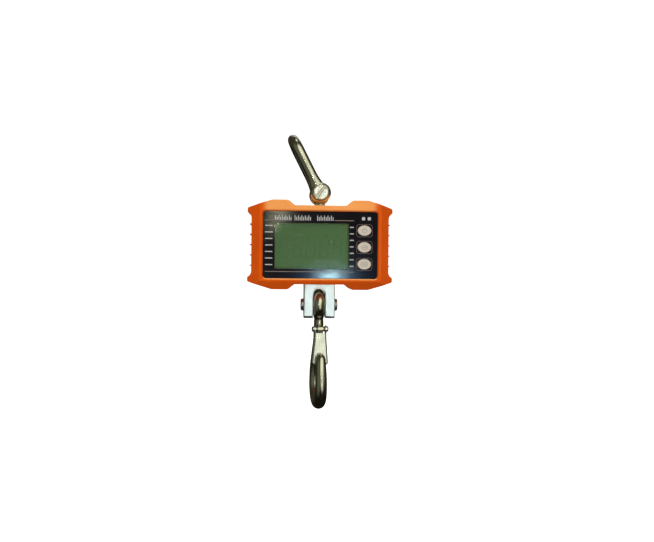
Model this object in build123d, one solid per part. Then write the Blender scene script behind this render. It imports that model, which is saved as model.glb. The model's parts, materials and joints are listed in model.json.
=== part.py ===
from build123d import *

import os
from math import cos, pi, sin

# Hanging crane scale: a shackle above, a load cell in a two-part housing with display and keys, and a
# latched hook below.
#
# Units are millimetres. +X is to the right of someone reading the display, +Y runs from the display to the
# back, and +Z is up the load line. The origin is the load point: the inside bottom of the hook's bowl.

# Heights on the load line
HOUSING_Z = 175.0
FORK_PIN_Z = 106.0
LATCH_PIN_Z = 78.5
SHACKLE_PIN_Z = 235.0

# How the loose parts stand at rest
SHACKLE_TILT = 27.0  # degrees from upright, towards -X
HOOK_YAW = 7.0  # degrees about the load line, tip towards +X

# Housing: front and back planes, the split between the shells, and walls
HOUSING_FRONT = -27.0
HOUSING_REAR = 21.0
SPLIT_Y = -1.0
WALL = 2.6
FLOOR_BACK = -21.5  # inside face of the front wall, behind the panel pocket
FLOOR_FRONT = -24.0  # floor of the panel pocket
RECESS_HALF = 44.7  # half height of the housing between its shoulders
SHOULDER_HALF = 50.8
SIDE_HALF = 78.2  # half width at the grip sides
FLANGE_HALF = 82.8  # half width at the corner flanges
CREASE_RADIUS = 3.0  # softening of the creases around the front and back faces
RIM_CHAMFER = 1.2  # slope inside the rim of the panel pocket
SEAL_WALL = 3.0  # rubber around the foot and the stem
RIB_PITCH = 11.8
RIB_COUNT = 5
RIB_THICKNESS = 1.3
RIB_HEIGHT = 2.2

# Panel and display
PANEL_WIDTH = 130.0
PANEL_HEIGHT = 76.0
PANEL_RADIUS = 4.0
PANEL_FRONT = -25.2
WINDOW_X = -9.5
WINDOW_Z = HOUSING_Z - 1.3
WINDOW_WIDTH = 84.3
WINDOW_HEIGHT = 51.8
WINDOW_LEDGE = 1.7  # how far the window's flange reaches past the opening
WINDOW_FLANGE = 0.8
LCD_WIDTH = 90.0
LCD_HEIGHT = 58.0
LCD_FRONT = -21.3
LCD_BACK = -18.9
GUIDE_BACK = -15.65
FRAME_WALL = 1.6
BOARD_FRONT = -15.0
BOARD_BACK = -13.4
BOARD_HALF_WIDTH = 61.5
BOARD_HALF_HEIGHT = 38.0
BOARD_SCREW_X = 58.5
BOARD_SCREW_Z = 35.2
BOARD_SCREW_RADIUS = 1.3
BOARD_SCREW_BITE = 4.5
BOARD_BOSS = 2.6
CABLE_X = 33.0
CABLE_Z = -2.0
LEAD_X = -31.0
LEAD_Z = -22.0

# Keys
KEY_X = 50.0
KEY_Z = {"power_button": 16.8, "hold_button": -2.2, "unit_button": -21.4}
KEY_WIDTH = 15.4
KEY_HEIGHT = 11.8
KEY_FRONT = -26.5
KEY_TRAVEL = 0.8
KEY_GAP = 0.3  # between a key and its hole, all round
KEY_FLANGE = 1.5
KEY_FLANGE_FRONT = -21.3
KEY_STEM_BACK = -20.15

# Load cell and the fork at its foot
CELL_HALF_DEPTH = 12.0
FORK_HALF_WIDTH = 18.0
FORK_BOTTOM = 93.5
FORK_SLOT_HALF = 6.9
FORK_SLOT_TOP = FORK_PIN_Z + 19.2
FORK_PAD = 2.4
BEAM_HALF_WIDTH = 21.0
BEAM_BOTTOM = 136.5
BEAM_TOP = 209.0
GAUGE_POCKET_Z = 173.0
GAUGE_POCKET_HALF = 9.0
GAUGE_WEB = 2.0  # half thickness of the web between the pockets
GAUGE_HALF = 3.5
CELL_SCREW_X = 12.0
CELL_SCREW_Z = 144.0
CELL_SCREW_RADIUS = 2.0
BOLT_RADIUS = 6.0
BOLT_HEAD_RADIUS = 7.1
BOLT_HEAD = 3.4
PIN_SCREW_RADIUS = 2.5

# Lifting eye and shackle
SHACKLE_BAR = 6.1
SHACKLE_GAP_HALF = 11.0
SHACKLE_EYE = 11.0  # thickness of each eye, along the pin
SHACKLE_EYE_RADIUS = 12.0
SHACKLE_REACH = 76.5  # pin to the outside of the crown
SHACKLE_PIN_RADIUS = 5.5
SHACKLE_HEAD_RADIUS = 8.8
SHACKLE_HEAD = 4.2
STEM_RADIUS = 6.0
EYE_THREAD_RADIUS = 5.0
EYE_THREAD = 15.0
EYE_RADIUS = 11.0
EYE_HALF = 9.0
LOCK_PIN_RADIUS = 1.5
LOCK_PIN_Z = 202.0
FLARE_TOP = 23.0  # where the shackle's foot has narrowed to the bar
SLOT_ANGLE = 53.0  # the slot across the pin's head, from level
SLOT_WIDTH = 4.2

# Hook and latch, in the hook's own plane: u is forward, v is up
HOOK_EYE_RADIUS = 12.6
HOOK_EYE_BAR = 6.2
HOOK_EYE_DROP = HOOK_EYE_RADIUS - HOOK_EYE_BAR - BOLT_RADIUS - 0.05
BOWL_RADIUS = 15.0
LATCH_PIN_U = 10.5
LATCH_PIN_RADIUS = 2.0
LATCH_SHEET = 1.4
LATCH_TOP_HALF = 7.2
LATCH_FOOT_HALF = 9.9
LATCH_FOOT_U = 12.2
LATCH_FOOT_V = 37.0
LATCH_TOP_V = 74.2
LATCH_BEND = 2.2  # outside radius of the bend into each ear
BOSS_RADIUS = 4.6
BOSS_HALF = 3.0
SPRING_WIRE = 0.35
SPRING_RADIUS = 2.6
SPRING_PITCH = 0.76

# Battery compartment
BATTERY_X = -47.0
BATTERY_RADIUS = 7.15
BATTERY_LENGTH = 49.2
BATTERY_PITCH = 14.7
BATTERY_Y = 9.8
BOX_HALF_WIDTH = 22.3
BOX_HALF_HEIGHT = 28.5
BOX_FLOOR = 2.4
SPRING_LENGTH = 5.6
BOX_WALL = 1.2
COVER_HALF_WIDTH = 23.4
COVER_HALF_HEIGHT = 36.5
COVER_THICKNESS = 1.6
COVER_SCREW_Z = 33.0
COVER_SCREW_RADIUS = 1.2
COVER_HEAD_RADIUS = 2.4
COVER_BOSS = 3.0

# Fasteners of the housing
SHELL_SCREW_X = 67.0
SHELL_SCREW_Z = 37.0
SHELL_BOSS = 4.0
SHELL_SCREW_RADIUS = 1.5
SHELL_HEAD_RADIUS = 2.8
THREAD_GAP = 0.05  # a plain shank stands this far inside its plain hole

# Rating plate on the back, left blank
PLATE_X = 47.0
PLATE_WIDTH = 34.0
PLATE_HEIGHT = 24.0
PLATE_THICKNESS = 0.5


def block(x0, x1, y0, y1, z0, z1):
    """Rectangular block between two corners."""
    return Pos((x0 + x1) / 2, (y0 + y1) / 2, (z0 + z1) / 2) * Box(x1 - x0, y1 - y0, z1 - z0)


def rod_x(radius, y, z, x0, x1):
    """Cylinder along X."""
    return Pos((x0 + x1) / 2, y, z) * Rot(0, 90, 0) * Cylinder(radius, x1 - x0)


def rod_y(radius, x, z, y0, y1):
    """Cylinder along Y."""
    return Pos(x, (y0 + y1) / 2, z) * Rot(90, 0, 0) * Cylinder(radius, y1 - y0)


def rod_z(radius, x, y, z0, z1):
    """Cylinder along Z."""
    return Pos(x, y, (z0 + z1) / 2) * Cylinder(radius, z1 - z0)


def slab(sketch, y0, y1):
    """A sketch drawn in x and z, given depth from y0 to y1."""
    return extrude(Plane.XZ.offset(-y1) * sketch, y1 - y0, dir=(0, -1, 0))


def tube(path, radius):
    """Round wire or cable along a path."""
    start = Plane(origin=path @ 0, z_dir=path % 0)
    return sweep(start * Circle(radius), path=path)


def four_corners(x, z):
    """The four places (x, z) mirrored about the housing's centre."""
    return [(sx * x, HOUSING_Z + sz * z) for sx in (-1, 1) for sz in (-1, 1)]


def union(shapes):
    """All the shapes as one."""
    total = None
    for shape in shapes:
        total = shape if total is None else total + shape
    return total


# ---------------------------------------------------------------- housing


def front_outline():
    """The housing seen from the front, centred on its middle."""
    flange_low = (FLANGE_HALF, 36.7)
    side_top = (SIDE_HALF, 30.0)
    shoulder = Polyline(
        (0, 0),
        (0, RECESS_HALF),
        (29.0, RECESS_HALF),
        (36.5, SHOULDER_HALF),
        (55.0, SHOULDER_HALF),
        (FLANGE_HALF, 42.0),
        flange_low,
    )
    scoop = TangentArc(side_top, flange_low, tangent=(0, 1))
    side = Polyline(side_top, (SIDE_HALF, 0), (0, 0))
    quarter = make_face([shoulder, scoop, side])
    for corner, radius in (
        ((29.0, RECESS_HALF), 3.0),
        ((36.5, SHOULDER_HALF), 4.0),
        ((55.0, SHOULDER_HALF), 9.0),
        ((FLANGE_HALF, 42.0), 2.0),
        (flange_low, 1.5),
    ):
        found = quarter.vertices().sort_by_distance((*corner, 0))[0]
        quarter = fillet(found, radius)
    half = quarter + mirror(quarter, about=Plane.YZ)
    return half + mirror(half, about=Plane.XZ)


def tapered_profile(front_half, wide_half, rear_half, front_y, rear_y):
    """Half widths against depth: narrow at the front plane, wide in the middle, narrower at the back."""
    right = [
        (front_half, HOUSING_FRONT),
        (wide_half, front_y),
        (wide_half, rear_y),
        (rear_half, HOUSING_REAR),
    ]
    face = make_face(Polyline(*right, *[(-x, y) for x, y in reversed(right)], close=True))
    creases = [v for v in face.vertices() if abs(v.X) < wide_half - 1]
    return fillet(creases, CREASE_RADIUS)


def housing_blank(inset=0.0):
    """The closed housing's outer form, drawn in by inset on every side."""
    reach = 100.0
    outline = front_outline()
    plan = tapered_profile(69.0, 85.0, 72.0, -17.4, 11.8)
    section = tapered_profile(41.4, 52.6, 44.0, -18.8, 14.6)
    if inset:
        outline = offset(outline, -inset)
        plan = offset(plan, -inset)
        section = offset(section, -inset)
    body = Pos(0, 0, HOUSING_Z) * slab(outline, HOUSING_FRONT, HOUSING_REAR)
    body &= extrude(Plane.XY.offset(HOUSING_Z - reach) * plan, 2 * reach, dir=(0, 0, 1))
    side_plane = Plane(origin=(-reach, 0, HOUSING_Z), x_dir=(0, 0, 1), z_dir=(-1, 0, 0))
    body &= extrude(side_plane * section, 2 * reach, dir=(1, 0, 0))
    return body


def outline_ring(outer, inner, y0, y1):
    """A band that follows the housing's outline, between two offsets of it."""
    band = offset(front_outline(), outer) - offset(front_outline(), inner)
    return Pos(0, 0, HOUSING_Z) * slab(band, y0, y1)


def grip_ribs():
    """Short fins on both sides for the fingers."""
    fins = []
    middle = (RIB_COUNT - 1) / 2
    tip = SIDE_HALF + RIB_HEIGHT
    for i in range(RIB_COUNT):
        z = HOUSING_Z + (i - middle) * RIB_PITCH
        for side in (-1, 1):
            inner, outer = sorted((side * (SIDE_HALF - 1.0), side * tip))
            fin = block(inner, outer, -17.0, 10.5, z - RIB_THICKNESS / 2, z + RIB_THICKNESS / 2)
            crest = [e for e in fin.edges() if abs(abs(e.center().X) - tip) < 0.1]
            fins.append(fillet(crest, 0.5))
    return union(fins)


def window_outline(grow):
    """The display opening, grown on every side."""
    size = (WINDOW_WIDTH + 2 * grow, WINDOW_HEIGHT + 2 * grow)
    return Pos(WINDOW_X, WINDOW_Z) * RectangleRounded(*size, 1.5 + max(grow, 0))


def panel_outline(gap):
    """The panel's rounded rectangle, drawn in by gap."""
    size = (PANEL_WIDTH - 2 * gap, PANEL_HEIGHT - 2 * gap)
    return Pos(0, HOUSING_Z) * RectangleRounded(*size, PANEL_RADIUS - gap)


def key_outline(rise, grow):
    """One key's oval, grown on every side."""
    return Pos(KEY_X, HOUSING_Z + rise) * Ellipse(KEY_WIDTH / 2 + grow, KEY_HEIGHT / 2 + grow)


def panel_openings(y0, y1):
    """The openings for the display and the keys."""
    cut = slab(window_outline(0.0), y0, y1)
    for rise in KEY_Z.values():
        cut += slab(key_outline(rise, KEY_GAP), y0, y1)
    return cut


def passages():
    """The holes where the load cell's foot and the lifting eye's stem leave the housing."""
    foot = block(
        -FORK_HALF_WIDTH - SEAL_WALL,
        FORK_HALF_WIDTH + SEAL_WALL,
        -CELL_HALF_DEPTH - SEAL_WALL,
        CELL_HALF_DEPTH + SEAL_WALL,
        HOUSING_Z - RECESS_HALF - 1,
        HOUSING_Z - RECESS_HALF + WALL + 1,
    )
    foot = fillet(foot.edges().filter_by(Axis.Z), 2.5)
    roof = HOUSING_Z + RECESS_HALF
    stem = rod_z(STEM_RADIUS + SEAL_WALL, 0, 0, roof - WALL - 1, roof + 1)
    return foot + stem


def front_shell(blank, cavity):
    """The half that carries the panel, the display and the keys."""
    shell = front_half(blank)
    hollow = cavity & block(-100, 100, FLOOR_BACK, SPLIT_Y, 100, 250)
    for x, z in four_corners(SHELL_SCREW_X, SHELL_SCREW_Z):
        hollow -= rod_y(SHELL_BOSS, x, z, FLOOR_BACK, SPLIT_Y)
    for x, z in four_corners(BOARD_SCREW_X, BOARD_SCREW_Z):
        hollow -= rod_y(BOARD_BOSS, x, z, FLOOR_BACK, BOARD_FRONT)
    shell -= hollow
    pocket = slab(panel_outline(-0.2), HOUSING_FRONT - 1, FLOOR_FRONT)
    shell -= pocket
    rim = shell.edges().filter_by_position(Axis.Y, HOUSING_FRONT - 0.01, HOUSING_FRONT + 0.01)
    rim = rim.filter_by_position(Axis.X, -PANEL_WIDTH / 2 - 2, PANEL_WIDTH / 2 + 2)
    rim = rim.filter_by_position(Axis.Z, HOUSING_Z - PANEL_HEIGHT / 2 - 1, HOUSING_Z + PANEL_HEIGHT / 2 + 1)
    shell = chamfer(rim, RIM_CHAMFER)
    shell -= panel_openings(FLOOR_FRONT - 1, FLOOR_BACK + 1)
    shell -= slab(window_outline(WINDOW_LEDGE + 0.1), FLOOR_FRONT - 1, FLOOR_FRONT + WINDOW_FLANGE)
    for x, z in four_corners(SHELL_SCREW_X, SHELL_SCREW_Z):
        shell -= rod_y(SHELL_SCREW_RADIUS + THREAD_GAP, x, z, FLOOR_BACK + 1.5, SPLIT_Y + 1)
    for x, z in four_corners(BOARD_SCREW_X, BOARD_SCREW_Z):
        tip_y = BOARD_FRONT - BOARD_SCREW_BITE - 0.5
        shell -= rod_y(BOARD_SCREW_RADIUS + THREAD_GAP, x, z, tip_y, BOARD_FRONT + 1)
    shell -= passages()
    shell -= outline_ring(4.0, -0.45, SPLIT_Y - 0.5, SPLIT_Y + 0.5)
    return shell


def rear_shell(blank, cavity):
    """The half that holds the batteries and is screwed to the load cell."""
    shell = rear_half(blank)
    hollow = cavity & block(-100, 100, SPLIT_Y - 1, HOUSING_REAR, 100, 250)
    for x, z in four_corners(SHELL_SCREW_X, SHELL_SCREW_Z):
        hollow -= rod_y(SHELL_BOSS, x, z, SPLIT_Y - 1, HOUSING_REAR)
    for side in (-1, 1):
        hollow -= rod_y(5.0, side * CELL_SCREW_X, CELL_SCREW_Z, CELL_HALF_DEPTH + 0.05, HOUSING_REAR)
        hollow -= rod_y(COVER_BOSS, BATTERY_X, HOUSING_Z + side * COVER_SCREW_Z, 7.0, HOUSING_REAR)
    box_half = BOX_HALF_WIDTH + BOX_WALL
    box_top = BOX_HALF_HEIGHT + BOX_WALL
    left, right = BATTERY_X - box_half, BATTERY_X + box_half
    low, high = HOUSING_Z - box_top, HOUSING_Z + box_top
    hollow -= block(left, right, BOX_FLOOR - BOX_WALL, HOUSING_REAR, low, high)
    shell -= hollow
    left, right = BATTERY_X - BOX_HALF_WIDTH, BATTERY_X + BOX_HALF_WIDTH
    low, high = HOUSING_Z - BOX_HALF_HEIGHT, HOUSING_Z + BOX_HALF_HEIGHT
    shell -= block(left, right, BOX_FLOOR, HOUSING_REAR, low, high)
    shell -= slab(cover_outline(0.15), HOUSING_REAR - COVER_THICKNESS, HOUSING_REAR + 1)
    for side in (-1, 1):
        z = HOUSING_Z + side * COVER_SCREW_Z
        shell -= rod_y(COVER_SCREW_RADIUS + THREAD_GAP, BATTERY_X, z, 8.5, HOUSING_REAR)
        shell -= rod_y(2.3, side * CELL_SCREW_X, CELL_SCREW_Z, CELL_HALF_DEPTH - 1, HOUSING_REAR + 1)
        shell -= rod_y(4.0, side * CELL_SCREW_X, CELL_SCREW_Z, HOUSING_REAR - 3.4, HOUSING_REAR + 1)
    for x, z in four_corners(SHELL_SCREW_X, SHELL_SCREW_Z):
        shell -= rod_y(SHELL_SCREW_RADIUS + 0.25, x, z, SPLIT_Y - 1, HOUSING_REAR + 1)
        shell -= rod_y(SHELL_HEAD_RADIUS + 0.3, x, z, HOUSING_REAR - 4.0, HOUSING_REAR + 1)
    shell -= slab(plate_outline(0.1), HOUSING_REAR - PLATE_THICKNESS, HOUSING_REAR + 1)
    shell -= rod_y(1.2, LEAD_X, HOUSING_Z + LEAD_Z, BOX_FLOOR - BOX_WALL - 1, BOX_FLOOR + 1)
    shell -= passages()
    shell -= outline_ring(-0.75, -1.85, SPLIT_Y - 1, SPLIT_Y + 1.0)
    return shell


def housing_seal():
    """Two lengths of flat gasket in the joint between the shells, either side of the load cell."""
    ring = outline_ring(-0.8, -1.8, SPLIT_Y, SPLIT_Y + 0.95)
    ring -= block(-24, 24, -20, 20, 100, HOUSING_Z)
    ring -= block(-13, 13, -20, 20, HOUSING_Z, 250)
    return ring


def cover_outline(gap):
    """The battery cover's outline, grown by gap."""
    size = (2 * (COVER_HALF_WIDTH + gap), 2 * (COVER_HALF_HEIGHT + gap))
    return Pos(BATTERY_X, HOUSING_Z) * RectangleRounded(*size, 2.0 + gap)


def battery_cover():
    """Flush cover with counterbored screw holes and a row of grip ridges."""
    cover = slab(cover_outline(0.0), HOUSING_REAR - COVER_THICKNESS + 0.05, HOUSING_REAR - 0.05)
    for side in (-1, 1):
        z = HOUSING_Z + side * COVER_SCREW_Z
        cover -= rod_y(COVER_SCREW_RADIUS + 0.15, BATTERY_X, z, 10, 30)
        cover -= rod_y(COVER_HEAD_RADIUS + 0.2, BATTERY_X, z, HOUSING_REAR - 1.0, 30)
    for i in range(5):
        z = HOUSING_Z + (i - 2) * 4.0
        cover -= block(BATTERY_X - 9, BATTERY_X + 9, HOUSING_REAR - 0.6, HOUSING_REAR, z - 0.7, z + 0.7)
    return cover


def slotted_screw(x, z, seat_y, tip_y, shank, head, height, slot, angle):
    """A screw along Y with its head towards +Y and a slot across the head."""
    screw = rod_y(shank, x, z, tip_y, seat_y + 0.1) + rod_y(head, x, z, seat_y, seat_y + height)
    groove = Box(3 * head, 2 * height * 0.55, slot)
    return screw - Pos(x, seat_y + height, z) * Rot(0, angle, 0) * groove


def socket_screw(x, z, seat_y, tip_y, shank, head, height, key):
    """A screw along Y with its head towards +Y and a hexagon socket."""
    screw = rod_y(shank, x, z, tip_y, seat_y + 0.1) + rod_y(head, x, z, seat_y, seat_y + height)
    hexagon = Pos(x, z) * RegularPolygon(key, 6, major_radius=False)
    socket = slab(hexagon, seat_y + 0.4 * height, seat_y + height + 1)
    return screw - socket


def plate_outline(gap):
    """The rating plate's outline, grown by gap."""
    size = (PLATE_WIDTH + 2 * gap, PLATE_HEIGHT + 2 * gap)
    return Pos(PLATE_X, HOUSING_Z) * RectangleRounded(*size, 2.0 + gap)


def stem_seal():
    """Round rubber grommet that closes the hole around the lifting eye's stem."""
    top = HOUSING_Z + RECESS_HALF
    seal = rod_z(STEM_RADIUS + SEAL_WALL - 0.03, 0, 0, top - WALL - 0.1, top + 0.4)
    seal += rod_z(STEM_RADIUS + SEAL_WALL + 2, 0, 0, top - WALL - 1.6, top - WALL - 0.05)
    return seal - rod_z(STEM_RADIUS + 0.04, 0, 0, 200, 230)


def foot_seal():
    """Rectangular rubber grommet around the load cell's foot."""
    low = HOUSING_Z - RECESS_HALF
    outer_x = FORK_HALF_WIDTH + SEAL_WALL - 0.03
    outer_y = CELL_HALF_DEPTH + SEAL_WALL - 0.03
    seal = block(-outer_x, outer_x, -outer_y, outer_y, low - 0.3, low + WALL + 0.1)
    seal = fillet(seal.edges().filter_by(Axis.Z), 2.5)
    lip_x = outer_x + 1.5
    lip_y = outer_y + 1.5
    seal += block(-lip_x, lip_x, -lip_y, lip_y, low + WALL + 0.05, low + WALL + 1.6)
    inner_x = FORK_HALF_WIDTH + 0.04
    inner_y = CELL_HALF_DEPTH + 0.04
    return seal - block(-inner_x, inner_x, -inner_y, inner_y, 100, 150)


# ---------------------------------------------------------------- panel, display, keys, electronics


def display_window():
    """Clear window with a flange that sits in a rebate behind the panel."""
    lens = slab(window_outline(-0.1), PANEL_FRONT, FLOOR_FRONT + WINDOW_FLANGE)
    return lens + slab(window_outline(WINDOW_LEDGE), FLOOR_FRONT + 0.05, FLOOR_FRONT + WINDOW_FLANGE - 0.05)


def lcd_outline(grow):
    """The display glass seen from the front, grown on every side."""
    return Pos(WINDOW_X, WINDOW_Z) * Rectangle(LCD_WIDTH + 2 * grow, LCD_HEIGHT + 2 * grow)


def display_frame():
    """Frame that holds the glass and its light guide against the board, with four pegs."""
    frame = slab(lcd_outline(FRAME_WALL), LCD_FRONT, BOARD_FRONT - 0.05)
    frame -= slab(lcd_outline(0.15), LCD_FRONT - 1, GUIDE_BACK + 0.05)
    frame -= slab(lcd_outline(-2.0), LCD_FRONT - 1, BOARD_FRONT + 1)
    for x, z in frame_pegs():
        frame += rod_y(1.0, x, z, BOARD_FRONT - 0.3, BOARD_BACK - 0.1)
    return frame


def frame_pegs():
    """Where the display frame's pegs enter the board."""
    x, z = LCD_WIDTH / 2 - 1, LCD_HEIGHT / 2 - 1
    return [(WINDOW_X + sx * x, WINDOW_Z + sz * z) for sx in (-1, 1) for sz in (-1, 1)]


def key(rise):
    """Oval key: crowned cap, flange behind the front wall and a short plunger."""
    cap = slab(key_outline(rise, 0.0), KEY_FRONT, LCD_FRONT)
    front = cap.edges().filter_by_position(Axis.Y, KEY_FRONT - 0.01, KEY_FRONT + 0.01)
    cap = fillet(front, 0.9)
    cap += slab(key_outline(rise, KEY_FLANGE), KEY_FLANGE_FRONT, KEY_FLANGE_FRONT + 1.0)
    return cap + rod_y(2.5, KEY_X, HOUSING_Z + rise, KEY_FLANGE_FRONT + 0.9, KEY_STEM_BACK)


def tact_switches():
    """Three small switches on the board, one behind each key."""
    switches = []
    for rise in KEY_Z.values():
        z = HOUSING_Z + rise
        body = block(KEY_X - 3, KEY_X + 3, BOARD_FRONT - 3.5, BOARD_FRONT, z - 3, z + 3)
        switches.append(body + rod_y(1.75, KEY_X, z, KEY_STEM_BACK + KEY_TRAVEL + 0.05, BOARD_FRONT - 3.4))
    return Compound(children=switches)


def main_board():
    """Circuit board behind the display, with its screw and peg holes."""
    outline = Pos(0, HOUSING_Z) * RectangleRounded(2 * BOARD_HALF_WIDTH, 2 * BOARD_HALF_HEIGHT, 2.0)
    board = slab(outline, BOARD_FRONT, BOARD_BACK)
    for x, z in four_corners(BOARD_SCREW_X, BOARD_SCREW_Z):
        board -= rod_y(BOARD_SCREW_RADIUS + 0.2, x, z, -20, -10)
    for x, z in frame_pegs():
        board -= rod_y(1.1, x, z, -20, -10)
    return board


def board_components():
    """Parts soldered to the back of the board."""
    placed = []

    def chip(x, rise, width, height, depth):
        z = HOUSING_Z + rise
        y1 = BOARD_BACK + depth
        placed.append(block(x - width / 2, x + width / 2, BOARD_BACK, y1, z - height / 2, z + height / 2))

    chip(-44, 20, 12, 12, 1.6)
    chip(-30, 27, 11, 4.5, 3.5)
    chip(36, 18, 8, 6, 1.5)
    chip(LEAD_X, LEAD_Z, 8, 5, 5.5)
    chip(CABLE_X, CABLE_Z, 6, 10, 5.5)
    for i in range(4):
        chip(-52 + 5 * i, 4, 2.0, 1.2, 0.8)
        chip(30 + 5 * i, 7, 2.0, 1.2, 0.8)
    for x, rise in ((-54, -10), (48, 28)):
        placed.append(rod_y(3.1, x, HOUSING_Z + rise, BOARD_BACK, BOARD_BACK + 7))
    return Compound(children=placed)


def board_screws():
    """Four pan-head screws that hold the board to the front shell."""
    screws = []
    for x, z in four_corners(BOARD_SCREW_X, BOARD_SCREW_Z):
        tip = BOARD_FRONT - BOARD_SCREW_BITE
        screws.append(slotted_screw(x, z, BOARD_BACK, tip, BOARD_SCREW_RADIUS, 2.3, 1.4, 0.7, 30))
    return Compound(children=screws)


def buzzer():
    """Round sounder with a central sound hole, on the back of the board."""
    body = rod_y(6.0, 41, HOUSING_Z - 26, BOARD_BACK, BOARD_BACK + 6.5)
    return body - rod_y(1.0, 41, HOUSING_Z - 26, BOARD_BACK + 4.5, BOARD_BACK + 7)


def bent_wire(points, radius, bend):
    """Round wire through the points with rounded corners."""
    return tube(FilletPolyline(*points, radius=bend), radius)


def cell_cable():
    """Gauge cable from the pocket in the load cell to its connector on the board."""
    z = HOUSING_Z + CABLE_Z
    lane = (BOARD_BACK - CELL_HALF_DEPTH) / 2
    points = [
        (GAUGE_HALF + 0.1, -GAUGE_WEB - 0.9, z),
        (GAUGE_HALF + 2.0, -GAUGE_WEB - 0.9, z),
        (GAUGE_HALF + 2.0, lane, z),
        (BEAM_HALF_WIDTH + 3.5, lane, z),
        (BEAM_HALF_WIDTH + 3.5, BOARD_BACK + 3.0, z),
        (CABLE_X - 3.05, BOARD_BACK + 3.0, z),
    ]
    return bent_wire(points, 0.5, 0.9)


def battery_leads():
    """Two leads from the battery box to their connector on the board."""
    z = HOUSING_Z + LEAD_Z
    leads = []
    for step in (-0.55, 0.55):
        leads.append(rod_y(0.5, LEAD_X, z + step, BOARD_BACK + 5.55, BOX_FLOOR + 0.1))
    return Compound(children=leads)


# ---------------------------------------------------------------- batteries


def battery_columns():
    """Each cell's x and which way up it stands."""
    return [(BATTERY_X + i * BATTERY_PITCH, 1 if i % 2 == 0 else -1) for i in (-1, 0, 1)]


def batteries():
    """Three dry cells side by side, turned end for end in a row."""
    cells = []
    for x, up in battery_columns():
        body = rod_z(BATTERY_RADIUS, 0, 0, 0, BATTERY_LENGTH)
        body = fillet(body.edges(), 0.6)
        body += rod_z(2.7, 0, 0, BATTERY_LENGTH - 0.1, BATTERY_LENGTH + 1.2)
        shift = -BOX_HALF_HEIGHT + SPRING_LENGTH + 0.5
        turn = Rot(0, 0 if up > 0 else 180, 0)
        cells.append(Pos(x, BATTERY_Y, HOUSING_Z) * turn * Pos(0, 0, shift) * body)
    return Compound(children=cells)


def battery_contacts():
    """A plate for each cell's top and a plate with a spring for its base."""
    contacts = []
    for x, up in battery_columns():
        turn = Rot(0, 0 if up > 0 else 180, 0)
        plate = Box(9.0, 9.0, 0.4)
        top = Pos(0, 0, BOX_HALF_HEIGHT - 0.25) * plate
        spring = tube(Helix(pitch=1.3, height=SPRING_LENGTH - 0.9, radius=3.2), 0.28)
        base = Pos(0, 0, -BOX_HALF_HEIGHT + 0.25) * plate + Pos(0, 0, -BOX_HALF_HEIGHT + 0.6) * spring
        for piece in (top, base):
            contacts.append(Pos(x, BATTERY_Y, HOUSING_Z) * turn * piece)
    return Compound(children=contacts)


# ---------------------------------------------------------------- load path


def load_cell():
    """Aluminium beam with two cross slots and a gauge pocket, ending below in a slotted fork."""
    depth = CELL_HALF_DEPTH
    beam = block(-BEAM_HALF_WIDTH, BEAM_HALF_WIDTH, -depth, depth, BEAM_BOTTOM, BEAM_TOP)
    beam = fillet(beam.edges().filter_by(Axis.Y), 2.0)
    fork = block(-FORK_HALF_WIDTH, FORK_HALF_WIDTH, -depth, depth, FORK_BOTTOM, BEAM_BOTTOM + 1)
    fork = fillet(fork.edges().filter_by(Axis.Z), 1.2)
    cell = beam + fork
    arch = FORK_SLOT_TOP - FORK_SLOT_HALF
    cell -= block(-FORK_SLOT_HALF, FORK_SLOT_HALF, -20, 20, FORK_BOTTOM - 5, arch)
    cell -= rod_y(FORK_SLOT_HALF, 0, arch, -20, 20)
    upright = cell.edges().filter_by(Axis.Z)
    slot_edges = [e for e in upright if abs(abs(e.center().X) - FORK_SLOT_HALF) < 0.01]
    cell = chamfer(slot_edges, 0.8)
    cell -= rod_x(BOLT_RADIUS + 0.05, 0, FORK_PIN_Z, -30, 30)
    for side, z in ((-1, GAUGE_POCKET_Z + 16), (1, GAUGE_POCKET_Z - 16)):
        end = -side * (BEAM_HALF_WIDTH - 10)
        x0, x1 = sorted((side * (BEAM_HALF_WIDTH + 1), end))
        cell -= block(x0, x1, -20, 20, z - 1.5, z + 1.5)
        cell -= rod_y(2.5, end, z, -20, 20)
    pocket = Pos(0, GAUGE_POCKET_Z) * RectangleRounded(2 * GAUGE_POCKET_HALF, 2 * GAUGE_POCKET_HALF, 3.0)
    cell -= slab(pocket, -20, -GAUGE_WEB) + slab(pocket, GAUGE_WEB, 20)
    cell -= rod_z(EYE_THREAD_RADIUS + THREAD_GAP, 0, 0, BEAM_TOP - EYE_THREAD - 0.5, BEAM_TOP + 1)
    cell -= rod_y(LOCK_PIN_RADIUS + THREAD_GAP, 0, LOCK_PIN_Z, -20, 20)
    for side in (-1, 1):
        cell -= rod_y(CELL_SCREW_RADIUS + THREAD_GAP, side * CELL_SCREW_X, CELL_SCREW_Z, 3.0, 20)
    return cell


def strain_gauges():
    """A gauge on each side of the web between the pockets."""
    gauges = []
    for side in (-1, 1):
        y0, y1 = sorted((side * GAUGE_WEB, side * (GAUGE_WEB + 0.3)))
        gauges.append(
            block(-GAUGE_HALF, GAUGE_HALF, y0, y1, GAUGE_POCKET_Z - GAUGE_HALF, GAUGE_POCKET_Z + GAUGE_HALF)
        )
    return Compound(children=gauges)


def fork_pads():
    """Black wear strips along the foot of both fork cheeks."""
    pads = []
    for side in (-1, 1):
        x0, x1 = sorted((side * (FORK_SLOT_HALF + 0.3), side * (FORK_HALF_WIDTH - 0.2)))
        half_y = CELL_HALF_DEPTH - 0.2
        pad = block(x0, x1, -half_y, half_y, FORK_BOTTOM - FORK_PAD, FORK_BOTTOM)
        pads.append(fillet(pad.edges().filter_by(Axis.Z), 1.0))
    return Compound(children=pads)


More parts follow.
